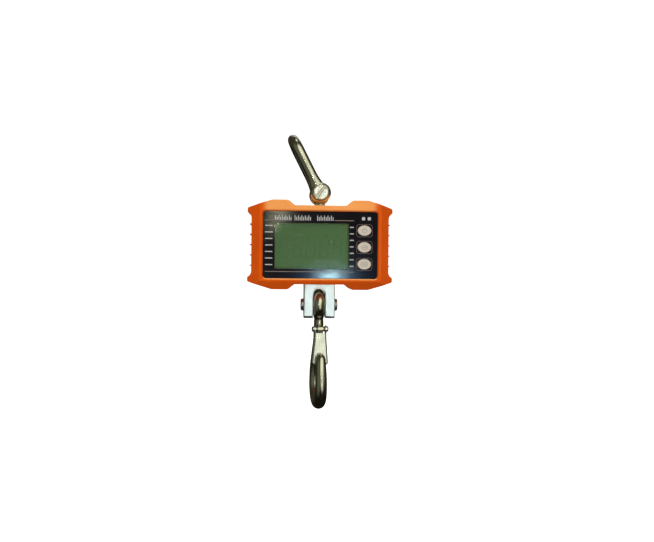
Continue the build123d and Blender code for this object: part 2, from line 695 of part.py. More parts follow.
def bolt_head(sign):
    """Low domed head on the fork's side."""
    x0 = sign * FORK_HALF_WIDTH
    x1 = sign * (FORK_HALF_WIDTH + BOLT_HEAD)
    head = rod_x(BOLT_HEAD_RADIUS, 0, FORK_PIN_Z, *sorted((x0, x1)))
    rim = [e for e in head.edges() if abs(e.center().X - x1) < 0.01 and e.geom_type == GeomType.CIRCLE]
    return fillet(rim, 1.6)


def fork_pin():
    """Plain barrel through the fork, headed at the left and tapped at the right."""
    pin = rod_x(BOLT_RADIUS, 0, FORK_PIN_Z, -FORK_HALF_WIDTH - 0.5, FORK_HALF_WIDTH)
    pin += bolt_head(-1)
    return pin - rod_x(PIN_SCREW_RADIUS + THREAD_GAP, 0, FORK_PIN_Z, 1.0, 30)


def fork_pin_screw():
    """Socket screw that closes the right end of the barrel."""
    screw = rod_x(PIN_SCREW_RADIUS, 0, FORK_PIN_Z, 2.0, FORK_HALF_WIDTH + 0.5) + bolt_head(1)
    hexagon = Plane(origin=(FORK_HALF_WIDTH + 1.2, 0, FORK_PIN_Z), x_dir=(0, 1, 0), z_dir=(1, 0, 0))
    return screw - extrude(hexagon * RegularPolygon(2.0, 6, major_radius=False), 10)


def lifting_eye():
    """Forged eye whose threaded stem screws into the top of the load cell."""
    ring = rod_y(EYE_RADIUS, 0, SHACKLE_PIN_Z, -EYE_HALF, EYE_HALF)
    ring = fillet(ring.edges().filter_by(GeomType.CIRCLE), 5.0)
    neck = rod_z(STEM_RADIUS, 0, 0, BEAM_TOP + 0.05, SHACKLE_PIN_Z - 6)
    collar = rod_z(9.0, 0, 0, BEAM_TOP + 0.05, BEAM_TOP + 4.0)
    thread = rod_z(EYE_THREAD_RADIUS, 0, 0, BEAM_TOP - EYE_THREAD, BEAM_TOP + 1)
    eye = ring + neck + collar + thread
    eye -= rod_y(SHACKLE_PIN_RADIUS + 0.08, 0, SHACKLE_PIN_Z, -20, 20)
    return eye - rod_y(LOCK_PIN_RADIUS + THREAD_GAP, 0, LOCK_PIN_Z, -20, 20)


def tilted(shape):
    """A shape drawn about the shackle's pin, turned to the shackle's rest tilt."""
    return Pos(0, 0, SHACKLE_PIN_Z) * Rot(0, -SHACKLE_TILT, 0) * shape


def shackle_bow():
    """Round bar bent to a D, with a forged eye on each foot."""
    leg = SHACKLE_GAP_HALF + SHACKLE_EYE / 2
    crown = SHACKLE_REACH - SHACKLE_BAR - leg
    path = Line((0, -leg, FLARE_TOP), (0, -leg, crown))
    path += ThreePointArc((0, -leg, crown), (0, 0, crown + leg), (0, leg, crown))
    path += Line((0, leg, crown), (0, leg, FLARE_TOP))
    bow = tube(path, SHACKLE_BAR)
    for side in (-1, 1):
        y0, y1 = sorted((side * SHACKLE_GAP_HALF, side * (SHACKLE_GAP_HALF + SHACKLE_EYE)))
        eye = rod_y(SHACKLE_EYE_RADIUS, 0, 0, y0, y1)
        eye = fillet(eye.edges().filter_by(GeomType.CIRCLE), 4.6)
        flare = loft(
            [
                Plane.XY.offset(4.0) * Pos(0, side * leg) * Ellipse(9.0, 5.3),
                Plane.XY.offset(13.5) * Pos(0, side * leg) * Ellipse(7.0, 5.6),
                Plane.XY.offset(FLARE_TOP) * Pos(0, side * leg) * Circle(SHACKLE_BAR),
            ]
        )
        bow += flare
        bow += eye
    bow -= rod_y(SHACKLE_PIN_RADIUS + 0.05, 0, 0, -30, 30)
    return tilted(bow)


def shackle_pin():
    """Pin with a slotted round head in front, screwed into the rear eye."""
    face = SHACKLE_GAP_HALF + SHACKLE_EYE
    pin = rod_y(SHACKLE_PIN_RADIUS, 0, 0, -face - 0.5, face + 1.5)
    pin = chamfer(pin.edges().filter_by_position(Axis.Y, face + 1.4, face + 1.6), 1.0)
    head = rod_y(SHACKLE_HEAD_RADIUS, 0, 0, -face - 0.1 - SHACKLE_HEAD, -face - 0.1)
    outer = head.edges().filter_by_position(Axis.Y, -face - SHACKLE_HEAD - 0.2, -face - SHACKLE_HEAD)
    head = fillet(outer, 1.4)
    groove = Rot(0, -SLOT_ANGLE, 0) * rod_x(SLOT_WIDTH / 2, -face - SHACKLE_HEAD, 0, -15, 15)
    return Pos(0, 0, SHACKLE_PIN_Z) * (pin + head - groove)


# ---------------------------------------------------------------- hook and latch


def on_hook(shape):
    """A shape drawn in the hook's own frame, turned to the hook's rest yaw."""
    return Rot(0, 0, HOOK_YAW) * shape


def hook_stations():
    """Centreline of the hook from the eye to the tip: u, v, half thickness in the plane and across it."""
    low = BOWL_RADIUS
    return [
        (0.0, 92.5, 6.0, 5.0),
        (0.0, 83.0, 7.6, 5.6),
        (-1.2, 73.0, 7.2, 5.6),
        (-6.2, 59.0, 7.0, 5.9),
        (-14.5, 44.0, 7.0, 6.4),
        (-20.5, 29.0, 7.2, 6.9),
        (-low - 7.0, low, 7.4, 7.2),
        (-15.8, -0.7, 7.5, 7.5),
        (0.0, -7.7, 7.7, 7.6),
        (15.8, -0.7, 7.4, 7.2),
        (low + 6.4, low, 6.6, 6.8),
        (21.0, 29.5, 6.0, 6.3),
        (19.0, 40.0, 5.2, 5.7),
        (17.4, 46.0, 4.4, 4.9),
        (16.6, 49.2, 3.0, 3.3),
        (16.3, 50.7, 1.2, 1.4),
    ]


def hook_bar():
    """The hook's bar, its section changing from neck to tip."""
    stations = hook_stations()
    sections = []
    for i, (u, v, thick, wide) in enumerate(stations):
        before = stations[max(i - 1, 0)]
        after = stations[min(i + 1, len(stations) - 1)]
        along = Vector(0, -(after[0] - before[0]), after[1] - before[1])
        plane = Plane(origin=(0, -u, v), x_dir=(1, 0, 0), z_dir=along)
        sections.append(plane * Ellipse(wide, thick))
    return loft(sections)


def hook():
    """Forged eye hook with a boss for the latch. The eye lies in the fork's plane, the rest has the yaw."""
    bar = hook_bar()
    boss = rod_x(BOSS_RADIUS, -LATCH_PIN_U, LATCH_PIN_Z, -BOSS_HALF, BOSS_HALF)
    web = block(
        -BOSS_HALF, BOSS_HALF, -LATCH_PIN_U, 0, LATCH_PIN_Z - BOSS_RADIUS, LATCH_PIN_Z + BOSS_RADIUS
    )
    body = bar + web + boss
    body -= rod_x(LATCH_PIN_RADIUS + 0.05, -LATCH_PIN_U, LATCH_PIN_Z, -20, 20)
    eye = Pos(0, 0, FORK_PIN_Z - HOOK_EYE_DROP) * Rot(0, 90, 0) * Torus(HOOK_EYE_RADIUS, HOOK_EYE_BAR)
    return on_hook(body) + eye


def latch():
    """Folded sheet latch: a tapering front plate with an ear down each side."""

    def side_profile(shift):
        head = LATCH_PIN_Z
        points = [
            (LATCH_PIN_U + 4.2 - shift, head),
            (LATCH_PIN_U + 4.0 - shift, LATCH_TOP_V),
            (LATCH_FOOT_U - shift, LATCH_FOOT_V),
            (LATCH_FOOT_U - shift - 1.6, LATCH_FOOT_V),
            (LATCH_FOOT_U - shift - 4.4, LATCH_FOOT_V + 12),
            (LATCH_PIN_U - 4.2 - shift, head - 8),
            (LATCH_PIN_U - 4.2 - shift, head),
        ]
        return make_face(Polyline(*[(-u, v) for u, v in points], close=True))

    def wedge(drop):
        top = LATCH_TOP_HALF - drop
        foot = LATCH_FOOT_HALF - drop
        corners = [(top, 90), (top, LATCH_TOP_V - 6), (foot, LATCH_FOOT_V)]
        face = make_face(Polyline(*corners, *[(-x, z) for x, z in reversed(corners)], close=True))
        return slab(fillet(face.vertices().group_by(Axis.Y)[0], 3.0 - drop), -30, 30)

    side = Plane(origin=(-20, 0, 0), x_dir=(0, 1, 0), z_dir=(1, 0, 0))
    outer = extrude(side * side_profile(0.0), 40, dir=(1, 0, 0)) & wedge(0.0)
    bends = [e for e in outer.edges() if e.length > 20 and e.center().Y < -LATCH_FOOT_U + 0.1]
    outer = fillet(bends, LATCH_BEND)
    outer += rod_x(4.2, -LATCH_PIN_U, LATCH_PIN_Z, -LATCH_TOP_HALF, LATCH_TOP_HALF)
    hollow = extrude(side * side_profile(LATCH_SHEET), 40, dir=(1, 0, 0))
    hollow += block(-20, 20, -LATCH_PIN_U, -LATCH_PIN_U + 20, LATCH_FOOT_V - 1, LATCH_PIN_Z + 10)
    hollow += block(-20, 20, -30, 20, LATCH_TOP_V, LATCH_PIN_Z + 10)
    sheet = outer - (hollow & wedge(LATCH_SHEET))
    sheet -= rod_x(LATCH_PIN_RADIUS + 0.05, -LATCH_PIN_U, LATCH_PIN_Z, -20, 20)
    return on_hook(sheet)


def latch_pin():
    """Rivet through the boss and both ears of the latch."""
    pin = rod_x(LATCH_PIN_RADIUS, -LATCH_PIN_U, LATCH_PIN_Z, -LATCH_TOP_HALF - 0.6, LATCH_TOP_HALF + 0.6)
    for side in (-1, 1):
        x0, x1 = sorted((side * (LATCH_TOP_HALF + 0.05), side * (LATCH_TOP_HALF + 2.4)))
        head = rod_x(3.2, -LATCH_PIN_U, LATCH_PIN_Z, x0, x1)
        rim = [e for e in head.edges().filter_by(GeomType.CIRCLE) if abs(e.center().X) > LATCH_TOP_HALF + 2]
        pin += fillet(rim, 1.3)
    return on_hook(pin)


def latch_spring():
    """Torsion spring beside the boss: one leg towards the neck, the other behind the latch's plate."""
    turns = 2.5
    steps = 12
    start_x = BOSS_HALF + 0.5
    end_x = start_x + turns * SPRING_PITCH
    back_y = -LATCH_PIN_U + SPRING_RADIUS
    front_y = -LATCH_PIN_U - SPRING_RADIUS
    points = [(start_x, back_y + 2.0, LATCH_PIN_Z - 11.0), (start_x, back_y + 0.9, LATCH_PIN_Z - 6.0)]
    for i in range(int(turns * steps) + 1):
        angle = 2 * pi * i / steps
        y = -LATCH_PIN_U + SPRING_RADIUS * cos(angle)
        z = LATCH_PIN_Z + SPRING_RADIUS * sin(angle)
        points.append((start_x + SPRING_PITCH * i / steps, y, z))
    points.append((end_x, front_y + 1.0, LATCH_PIN_Z - 5.0))
    points.append((end_x, front_y + 2.2, LATCH_PIN_Z - 15.0))
    return on_hook(tube(Spline(*points), SPRING_WIRE))


# ---------------------------------------------------------------- everything


def front_half(shape):
    """What lies in front of the split."""
    return shape & block(-100, 100, HOUSING_FRONT - 5, SPLIT_Y, 100, 250)


def rear_half(shape):
    """What lies behind the split."""
    return shape & block(-100, 100, SPLIT_Y, HOUSING_REAR + 5, 100, 250)


def build():
    """Every named piece of the scale."""
    blank = housing_blank()
    cavity = housing_blank(WALL)
    gripped = blank + grip_ribs()
    pieces = {
        "front_shell": front_shell(gripped, cavity),
        "rear_shell": rear_shell(gripped, cavity),
        "housing_seal": housing_seal(),
        "stem_seal": stem_seal(),
        "foot_seal": foot_seal(),
        "faceplate": slab(panel_outline(0.1), PANEL_FRONT, FLOOR_FRONT) - panel_openings(-30, -20),
        "display_window": display_window(),
        "display_frame": display_frame(),
        "lcd_panel": slab(lcd_outline(0.0), LCD_FRONT, LCD_BACK),
        "light_guide": slab(lcd_outline(0.0), LCD_BACK + 0.05, GUIDE_BACK),
        "tact_switches": tact_switches(),
        "main_board": main_board(),
        "board_components": board_components(),
        "board_screws": board_screws(),
        "buzzer": buzzer(),
        "cell_cable": cell_cable(),
        "battery_leads": battery_leads(),
        "batteries": batteries(),
        "battery_contacts": battery_contacts(),
        "battery_cover": battery_cover(),
        "rating_plate": slab(plate_outline(0.0), HOUSING_REAR - PLATE_THICKNESS, HOUSING_REAR - 0.05),
        "load_cell": load_cell(),
        "strain_gauges": strain_gauges(),
        "fork_pads": fork_pads(),
        "fork_pin": fork_pin(),
        "fork_pin_screw": fork_pin_screw(),
        "lifting_eye": lifting_eye(),
        "eye_lock_pin": rod_y(LOCK_PIN_RADIUS, 0, LOCK_PIN_Z, -11.5, 11.5),
        "shackle_bow": shackle_bow(),
        "shackle_pin": shackle_pin(),
        "hook": hook(),
        "latch": latch(),
        "latch_pin": latch_pin(),
        "latch_spring": latch_spring(),
    }
    for name, rise in KEY_Z.items():
        pieces[name] = key(rise)
    shell_screws = []
    for x, z in four_corners(SHELL_SCREW_X, SHELL_SCREW_Z):
        seat = HOUSING_REAR - 4.0
        shell_screws.append(
            slotted_screw(x, z, seat, FLOOR_BACK + 8, SHELL_SCREW_RADIUS, SHELL_HEAD_RADIUS, 2.2, 0.9, 20)
        )
    pieces["shell_screws"] = Compound(children=shell_screws)
    cell_screws = []
    cover_screws = []
    for side in (-1, 1):
        x = side * CELL_SCREW_X
        cell_screws.append(
            socket_screw(x, CELL_SCREW_Z, HOUSING_REAR - 3.4, 4.0, CELL_SCREW_RADIUS, 3.6, 2.6, 1.6)
        )
        z = HOUSING_Z + side * COVER_SCREW_Z
        seat = HOUSING_REAR - 1.0
        cover_screws.append(
            slotted_screw(BATTERY_X, z, seat, 10.0, COVER_SCREW_RADIUS, COVER_HEAD_RADIUS, 0.9, 0.7, 65)
        )
    pieces["cell_screws"] = Compound(children=cell_screws)
    pieces["cover_screws"] = Compound(children=cover_screws)
    return pieces


os.makedirs("parts", exist_ok=True)
for node, shape in build().items():
    shape.label = node
    export_step(shape, f"parts/{node}.step")
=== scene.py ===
import json
from math import cos, pi, radians, sin

import bmesh
import bpy
from mathutils import Matrix, Vector


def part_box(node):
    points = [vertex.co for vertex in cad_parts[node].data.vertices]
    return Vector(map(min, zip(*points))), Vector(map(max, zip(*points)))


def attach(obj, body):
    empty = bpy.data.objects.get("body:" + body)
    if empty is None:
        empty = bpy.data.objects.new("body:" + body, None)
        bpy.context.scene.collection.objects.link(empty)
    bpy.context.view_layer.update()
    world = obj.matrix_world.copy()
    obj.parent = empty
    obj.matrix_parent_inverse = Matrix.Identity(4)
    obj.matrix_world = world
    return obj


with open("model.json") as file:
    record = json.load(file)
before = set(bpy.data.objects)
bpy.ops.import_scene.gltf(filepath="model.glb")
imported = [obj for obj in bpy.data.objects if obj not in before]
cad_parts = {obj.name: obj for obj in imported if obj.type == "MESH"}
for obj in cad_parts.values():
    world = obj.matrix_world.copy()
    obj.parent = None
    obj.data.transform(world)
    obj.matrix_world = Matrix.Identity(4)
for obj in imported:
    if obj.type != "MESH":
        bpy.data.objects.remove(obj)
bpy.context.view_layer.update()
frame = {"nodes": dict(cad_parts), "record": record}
nodes = frame["nodes"]
MM = 0.001

# Places on the object, in millimetres, from the frame.
panel_low, panel_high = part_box("faceplate")
PANEL_FRONT = panel_low.y / MM
PANEL_X = (panel_low.x + panel_high.x) / 2 / MM
PANEL_Z = (panel_low.z + panel_high.z) / 2 / MM
lcd_low, lcd_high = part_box("lcd_panel")
LCD_FRONT = lcd_low.y / MM
window_low, window_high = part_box("display_window")
WINDOW_X = (window_low.x + window_high.x) / 2 / MM
WINDOW_Z = (window_low.z + window_high.z) / 2 / MM
PRINT = 0.06  # how far ink stands proud
SUNK = 0.03  # how far it sits into what it is printed on

# Where the housing's paint is made paler as a painted sheen of light from above: upward faces and the
# strip above the panel.
UPWARD = (0.40, 0.66)  # from this upward tilt of the surface, and in full from that one
BROW_FULL = 58.0  # half width of the strip above the panel, before and after it fades out
BROW_END = 67.0

# Camera.
VIEW_AZIMUTH = -2.5
VIEW_DISTANCE = 0.7959
VIEW_HEIGHT = 0.1547
VIEW_LENS = 37.47
VIEW_ROLL = 0.55
VIEW_SHIFT = (0.0119, -0.0123)


# ---------------------------------------------------------------- node helpers


def new_material(name):
    """A material with its Principled shader and object coordinates ready."""
    mat = bpy.data.materials.new(name)
    mat.use_nodes = True
    tree = mat.node_tree
    shader = tree.nodes["Principled BSDF"]
    coords = tree.nodes.new("ShaderNodeTexCoord")
    return mat, tree, shader, coords.outputs["Object"]


def noise(tree, vector, scale, detail=4.0, rough=0.55, stretch=None):
    """Noise texture, its space stretched if asked."""
    if stretch:
        mapping = tree.nodes.new("ShaderNodeMapping")
        mapping.inputs["Scale"].default_value = stretch
        tree.links.new(vector, mapping.inputs["Vector"])
        vector = mapping.outputs["Vector"]
    tex = tree.nodes.new("ShaderNodeTexNoise")
    tex.inputs["Scale"].default_value = scale
    tex.inputs["Detail"].default_value = detail
    tex.inputs["Roughness"].default_value = rough
    tree.links.new(vector, tex.inputs["Vector"])
    return tex.outputs["Fac"]


def ramp(tree, fac, stops):
    """Colour ramp over fac; each stop is a position and a colour or a grey."""
    node = tree.nodes.new("ShaderNodeValToRGB")
    elements = node.color_ramp.elements
    while len(elements) < len(stops):
        elements.new(0.5)
    for element, (pos, value) in zip(elements, stops):
        element.position = pos
        element.color = (*value, 1.0) if isinstance(value, tuple) else (value, value, value, 1.0)
    tree.links.new(fac, node.inputs["Fac"])
    return node.outputs["Color"]


def math_node(tree, kind, a, b=None):
    """A math node over sockets or numbers."""
    node = tree.nodes.new("ShaderNodeMath")
    node.operation = kind
    for i, value in enumerate((a, b)):
        if value is None:
            continue
        if isinstance(value, (int, float)):
            node.inputs[i].default_value = value
        else:
            tree.links.new(value, node.inputs[i])
    return node.outputs[0]


def mix(tree, fac, a, b, blend="MIX"):
    """Mixes two colours by fac."""
    node = tree.nodes.new("ShaderNodeMix")
    node.data_type = "RGBA"
    node.blend_type = blend
    for name, value in (("Factor", fac), ("A", a), ("B", b)):
        socket = [s for s in node.inputs if s.name == name and (name == "Factor" or s.type == "RGBA")][0]
        if isinstance(value, (int, float)):
            socket.default_value = value
        elif isinstance(value, tuple):
            socket.default_value = (*value, 1.0)
        else:
            tree.links.new(value, socket)
    return [s for s in node.outputs if s.type == "RGBA"][0]


def rise(tree, value, low, high):
    """Zero below low, one above high, and a soft step between."""
    step = tree.nodes.new("ShaderNodeMapRange")
    step.interpolation_type = "SMOOTHSTEP"
    step.inputs["From Min"].default_value = low
    step.inputs["From Max"].default_value = high
    tree.links.new(value, step.inputs["Value"])
    return step.outputs["Result"]


def bump(tree, shader, height, strength, distance):
    """Adds a bump to the shader's normal, on top of any bump already there."""
    node = tree.nodes.new("ShaderNodeBump")
    node.inputs["Strength"].default_value = strength
    node.inputs["Distance"].default_value = distance
    tree.links.new(height, node.inputs["Height"])
    if shader.inputs["Normal"].is_linked:
        tree.links.new(shader.inputs["Normal"].links[0].from_socket, node.inputs["Normal"])
    tree.links.new(node.outputs["Normal"], shader.inputs["Normal"])


def edge_mask(tree, radius, low, high):
    """White along convex edges: where a rounded normal turns away from the true one."""
    bevel = tree.nodes.new("ShaderNodeBevel")
    bevel.samples = 4
    bevel.inputs["Radius"].default_value = radius
    geometry = tree.nodes.new("ShaderNodeNewGeometry")
    dot = tree.nodes.new("ShaderNodeVectorMath")
    dot.operation = "DOT_PRODUCT"
    tree.links.new(bevel.outputs["Normal"], dot.inputs[0])
    tree.links.new(geometry.outputs["Normal"], dot.inputs[1])
    return ramp(tree, dot.outputs["Value"], [(low, 1.0), (high, 0.0)])


# ---------------------------------------------------------------- materials


def painted_sheen_mask(tree):
    """Mask of the painted sheen: white on faces that look up and on the strip of housing above the panel,
    where light from above falls.
    """
    geometry = tree.nodes.new("ShaderNodeNewGeometry")
    normal = tree.nodes.new("ShaderNodeSeparateXYZ")
    tree.links.new(geometry.outputs["Normal"], normal.inputs[0])
    upward = rise(tree, normal.outputs["Z"], *UPWARD)
    place = tree.nodes.new("ShaderNodeSeparateXYZ")
    tree.links.new(geometry.outputs["Position"], place.inputs[0])
    across = math_node(tree, "ABSOLUTE", math_node(tree, "SUBTRACT", place.outputs["X"], PANEL_X * MM))
    above = rise(tree, place.outputs["Z"], panel_high.z - 1 * MM, panel_high.z + 3 * MM)
    beside = math_node(tree, "SUBTRACT", 1.0, rise(tree, across, BROW_FULL * MM, BROW_END * MM))
    return math_node(tree, "MAXIMUM", upward, math_node(tree, "MULTIPLY", above, beside))


def moulded(name, light, dark, rough, grain, coat=0.0, tint=(1.0, 1.0, 1.0), painted_sheen=None):
    """Plastic or paint: slow colour drift, fine grain, uneven sheen, paler rubbed edges, and tops painted
    paler as a painted sheen of light from above.
    """
    mat, tree, shader, obj = new_material(name)
    drift = noise(tree, obj, 26.0, 3.0)
    colour = ramp(tree, drift, [(0.35, dark), (0.65, light)])
    rubbed = edge_mask(tree, 0.0006, 0.90, 0.985)
    patchy = ramp(tree, noise(tree, obj, 160.0, 3.0), [(0.45, 0.0), (0.7, 0.30)])
    worn = math_node(tree, "MULTIPLY", rubbed, patchy)
    # Painted sheen: upward faces and the strip above the panel are painted paler, standing in for light
    # from above.
    if painted_sheen:
        uneven = ramp(tree, noise(tree, obj, 34.0, 4.0), [(0.3, 0.78), (0.7, 0.95)])
        colour = mix(tree, math_node(tree, "MULTIPLY", painted_sheen_mask(tree), uneven), colour, painted_sheen)
    paler = tuple(min(1.0, c * 1.2 + 0.03) for c in light)
    tree.links.new(mix(tree, worn, colour, paler), shader.inputs["Base Color"])
    sheen = ramp(tree, noise(tree, obj, 60.0, 5.0), [(0.3, rough - 0.06), (0.7, rough + 0.07)])
    tree.links.new(sheen, shader.inputs["Roughness"])
    bump(tree, shader, noise(tree, obj, 2600.0, 2.0), grain, 0.00003)
    bump(tree, shader, noise(tree, obj, 38.0, 2.0), 0.10, 0.00015)
    shader.inputs["Coat Weight"].default_value = coat
    shader.inputs["Coat Roughness"].default_value = 0.22
    shader.inputs["Specular Tint"].default_value = (*tint, 1.0)
    shader.inputs["Coat Tint"].default_value = (*tint, 1.0)
    return mat


def plated(name, light, dark, rough, brush=(1.0, 1.0, 0.16), pits=0.15):
    """Plated or milled metal: cloudy tone, fine scratches or brushing, tiny pits."""
    mat, tree, shader, obj = new_material(name)
    shader.inputs["Metallic"].default_value = 1.0
    cloud = noise(tree, obj, 42.0, 5.0, 0.6)
    colour = ramp(tree, cloud, [(0.32, dark), (0.68, light)])
    rubbed = math_node(tree, "MULTIPLY", edge_mask(tree, 0.0005, 0.90, 0.99), 0.5)
    tree.links.new(mix(tree, rubbed, colour, light), shader.inputs["Base Color"])
    streak = noise(tree, obj, 900.0, 2.0, 0.5, brush)
    sheen = ramp(tree, streak, [(0.3, rough - 0.04), (0.7, rough + 0.07)])
    smear = ramp(tree, noise(tree, obj, 75.0, 6.0, 0.65), [(0.45, 0.0), (0.75, 0.12)])
    tree.links.new(math_node(tree, "ADD", sheen, smear), shader.inputs["Roughness"])
    bump(tree, shader, streak, 0.012, 0.00004)
    pit_mask = ramp(tree, noise(tree, obj, 420.0, 3.0), [(0.28, 0.0), (0.36, 1.0)])
    bump(tree, shader, pit_mask, pits, 0.00004)
    bump(tree, shader, noise(tree, obj, 55.0, 2.0), 0.08, 0.0005)
    return mat


def rubber(name, tone):
    """Matt rubber with a dusty bloom."""
    mat, tree, shader, obj = new_material(name)
    bloom = (tone * 1.9, tone * 1.85, tone * 1.75)
    dust = ramp(tree, noise(tree, obj, 90.0, 6.0), [(0.4, (tone, tone, tone)), (0.75, bloom)])
    tree.links.new(dust, shader.inputs["Base Color"])
    matt = ramp(tree, noise(tree, obj, 240.0), [(0.3, 0.62), (0.7, 0.82)])
    tree.links.new(matt, shader.inputs["Roughness"])
    bump(tree, shader, noise(tree, obj, 1500.0, 3.0), 0.25, 0.00004)
    return mat


def gloss_panel():
    """Black glossy overlay with faint orange peel, dust and fine wipe marks."""
    mat, tree, shader, obj = new_material("panel_black")
    specks = ramp(tree, noise(tree, obj, 1900.0, 1.0), [(0.73, 0.0), (0.80, 1.0)])
    blacks = [(0.3, (0.004, 0.004, 0.006)), (0.75, (0.010, 0.009, 0.012))]
    haze = ramp(tree, noise(tree, obj, 22.0, 4.0), blacks)
    dusty = math_node(tree, "MULTIPLY", specks, 0.08)
    tree.links.new(mix(tree, dusty, haze, (0.5, 0.5, 0.5)), shader.inputs["Base Color"])
    wipes = noise(tree, obj, 300.0, 4.0, 0.6, (0.25, 1.0, 1.0))
    tree.links.new(ramp(tree, wipes, [(0.35, 0.05), (0.75, 0.11)]), shader.inputs["Roughness"])
    shader.inputs["Specular IOR Level"].default_value = 0.14
    bump(tree, shader, noise(tree, obj, 120.0, 2.0), 0.04, 0.0002)
    return mat


def clear_window():
    """Clear acrylic: see-through, with wipe marks and a reflection that grows at a glancing angle."""
    mat, tree, shader, obj = new_material("window_clear")
    tree.nodes.remove(shader)
    clear = tree.nodes.new("ShaderNodeBsdfTransparent")
    clear.inputs["Color"].default_value = (0.92, 0.96, 0.92, 1.0)
    gloss = tree.nodes.new("ShaderNodeBsdfGlossy")
    wipes = noise(tree, obj, 260.0, 4.0, 0.6, (1.0, 1.0, 0.25))
    tree.links.new(ramp(tree, wipes, [(0.4, 0.03), (0.8, 0.12)]), gloss.inputs["Roughness"])
    fresnel = tree.nodes.new("ShaderNodeFresnel")
    fresnel.inputs["IOR"].default_value = 1.22
    ripple = tree.nodes.new("ShaderNodeBump")
    ripple.inputs["Strength"].default_value = 0.03
    ripple.inputs["Distance"].default_value = 0.0002
    tree.links.new(noise(tree, obj, 60.0, 2.0), ripple.inputs["Height"])
    tree.links.new(ripple.outputs["Normal"], gloss.inputs["Normal"])
    both = tree.nodes.new("ShaderNodeMixShader")
    tree.links.new(fresnel.outputs["Fac"], both.inputs["Fac"])
    tree.links.new(clear.outputs["BSDF"], both.inputs[1])
    tree.links.new(gloss.outputs["BSDF"], both.inputs[2])
    tree.links.new(both.outputs["Shader"], tree.nodes["Material Output"].inputs["Surface"])
    return mat


def lcd_glass():
    """Grey-green display glass with a fine cell pattern."""
    mat, tree, shader, obj = new_material("lcd_glass")
    drift = noise(tree, obj, 14.0, 3.0)
    colour = ramp(tree, drift, [(0.3, (0.078, 0.154, 0.055)), (0.7, (0.094, 0.184, 0.067))])
    tree.links.new(colour, shader.inputs["Base Color"])
    sheen = ramp(tree, noise(tree, obj, 700.0, 2.0), [(0.3, 0.28), (0.7, 0.38)])
    tree.links.new(sheen, shader.inputs["Roughness"])
    bump(tree, shader, noise(tree, obj, 2200.0, 1.0), 0.08, 0.00003)
    return mat


def ink(name, colour, rough=0.45):
    """Screen-printed ink: uneven coverage and a slightly raised, dry surface."""
    mat, tree, shader, obj = new_material(name)
    thin = tuple(c * 0.72 for c in colour)
    cover = ramp(tree, noise(tree, obj, 520.0, 4.0), [(0.34, thin), (0.58, colour)])
    tree.links.new(cover, shader.inputs["Base Color"])
    dry = ramp(tree, noise(tree, obj, 900.0), [(0.3, rough - 0.08), (0.7, rough + 0.1)])
    tree.links.new(dry, shader.inputs["Roughness"])
    bump(tree, shader, noise(tree, obj, 2400.0, 2.0), 0.2, 0.00002)
    return mat


materials = {
    "housing": moulded(
        "orange_housing", (0.67, 0.082, 0.001), (0.60, 0.071, 0.001), 0.38, 0.22,
        # The last colour is the painted sheen on upward faces, standing in for light from above.
        tint=(1.0, 0.66, 0.28), painted_sheen=(0.88, 0.37, 0.105),
    ),
    "seal": rubber("seal_rubber", 0.022),
    "pad": rubber("pad_black", 0.012),
    "panel": gloss_panel(),
    "window": clear_window(),
    "frame": moulded("frame_dark", (0.030, 0.032, 0.030), (0.020, 0.022, 0.020), 0.5, 0.2),
    "lcd": lcd_glass(),
    "guide": moulded("guide_white", (0.82, 0.84, 0.78), (0.74, 0.77, 0.70), 0.4, 0.1),
    "key": moulded("key_grey", (0.60, 0.54, 0.46), (0.52, 0.46, 0.39), 0.38, 0.25, 0.15),
    "electronics": moulded("electronics_black", (0.045, 0.045, 0.05), (0.02, 0.02, 0.024), 0.45, 0.3),
    "board": moulded("board_green", (0.02, 0.20, 0.06), (0.012, 0.13, 0.04), 0.35, 0.15, 0.4),
    "zinc_screw": plated("screw_zinc", (0.60, 0.60, 0.57), (0.42, 0.42, 0.40), 0.28),
    "cable": moulded("cable_grey", (0.24, 0.24, 0.25), (0.17, 0.17, 0.18), 0.5, 0.2),
    "battery": moulded("battery_wrap", (0.16, 0.18, 0.22), (0.10, 0.12, 0.16), 0.3, 0.05, 0.4),
    "contact": plated("contact_nickel", (0.70, 0.69, 0.64), (0.52, 0.51, 0.47), 0.25),
    "plate": plated("plate_satin", (0.74, 0.75, 0.77), (0.60, 0.61, 0.63), 0.34, (0.02, 1.0, 1.0), 0.05),
    "cell": plated("cell_aluminium", (0.94, 0.95, 0.96), (0.86, 0.88, 0.90), 0.30, (1.0, 1.0, 0.05), 0.10),
    "gauge": moulded("gauge_film", (0.60, 0.42, 0.14), (0.48, 0.32, 0.09), 0.4, 0.1),
    "bolt": plated("bolt_zinc", (0.62, 0.62, 0.60), (0.42, 0.42, 0.41), 0.24),
    "forging": plated("forging_nickel", (0.70, 0.70, 0.58), (0.54, 0.53, 0.42), 0.15, pits=0.05),
    "latch_sheet": plated(
        "latch_zinc", (0.93, 0.99, 0.91), (0.82, 0.88, 0.78), 0.24, (1.0, 1.0, 0.08), 0.15
    ),
    "spring_wire": plated("spring_wire", (0.55, 0.55, 0.54), (0.40, 0.40, 0.40), 0.2),
}
ink_white = ink("ink_white", (0.52, 0.52, 0.50))
ink_brown = ink("ink_brown", (0.26, 0.19, 0.14))
ink_rose = ink("ink_rose", (0.20, 0.13, 0.12))
ink_grey = ink("ink_grey", (0.20, 0.24, 0.20))
ghost = ink("lcd_ghost", (0.090, 0.176, 0.064), 0.32)

pin_metal = plated("pin_satin", (0.98, 0.96, 0.86), (0.86, 0.84, 0.74), 0.26, pits=0.05)

for entry in frame["record"]["subparts"]:
    obj = nodes[entry["node"]]
    obj.data.materials.clear()
    obj.data.materials.append(materials[entry["material_slot"]])
nodes["shackle_pin"].data.materials[0] = pin_metal


# ---------------------------------------------------------------- printed marks


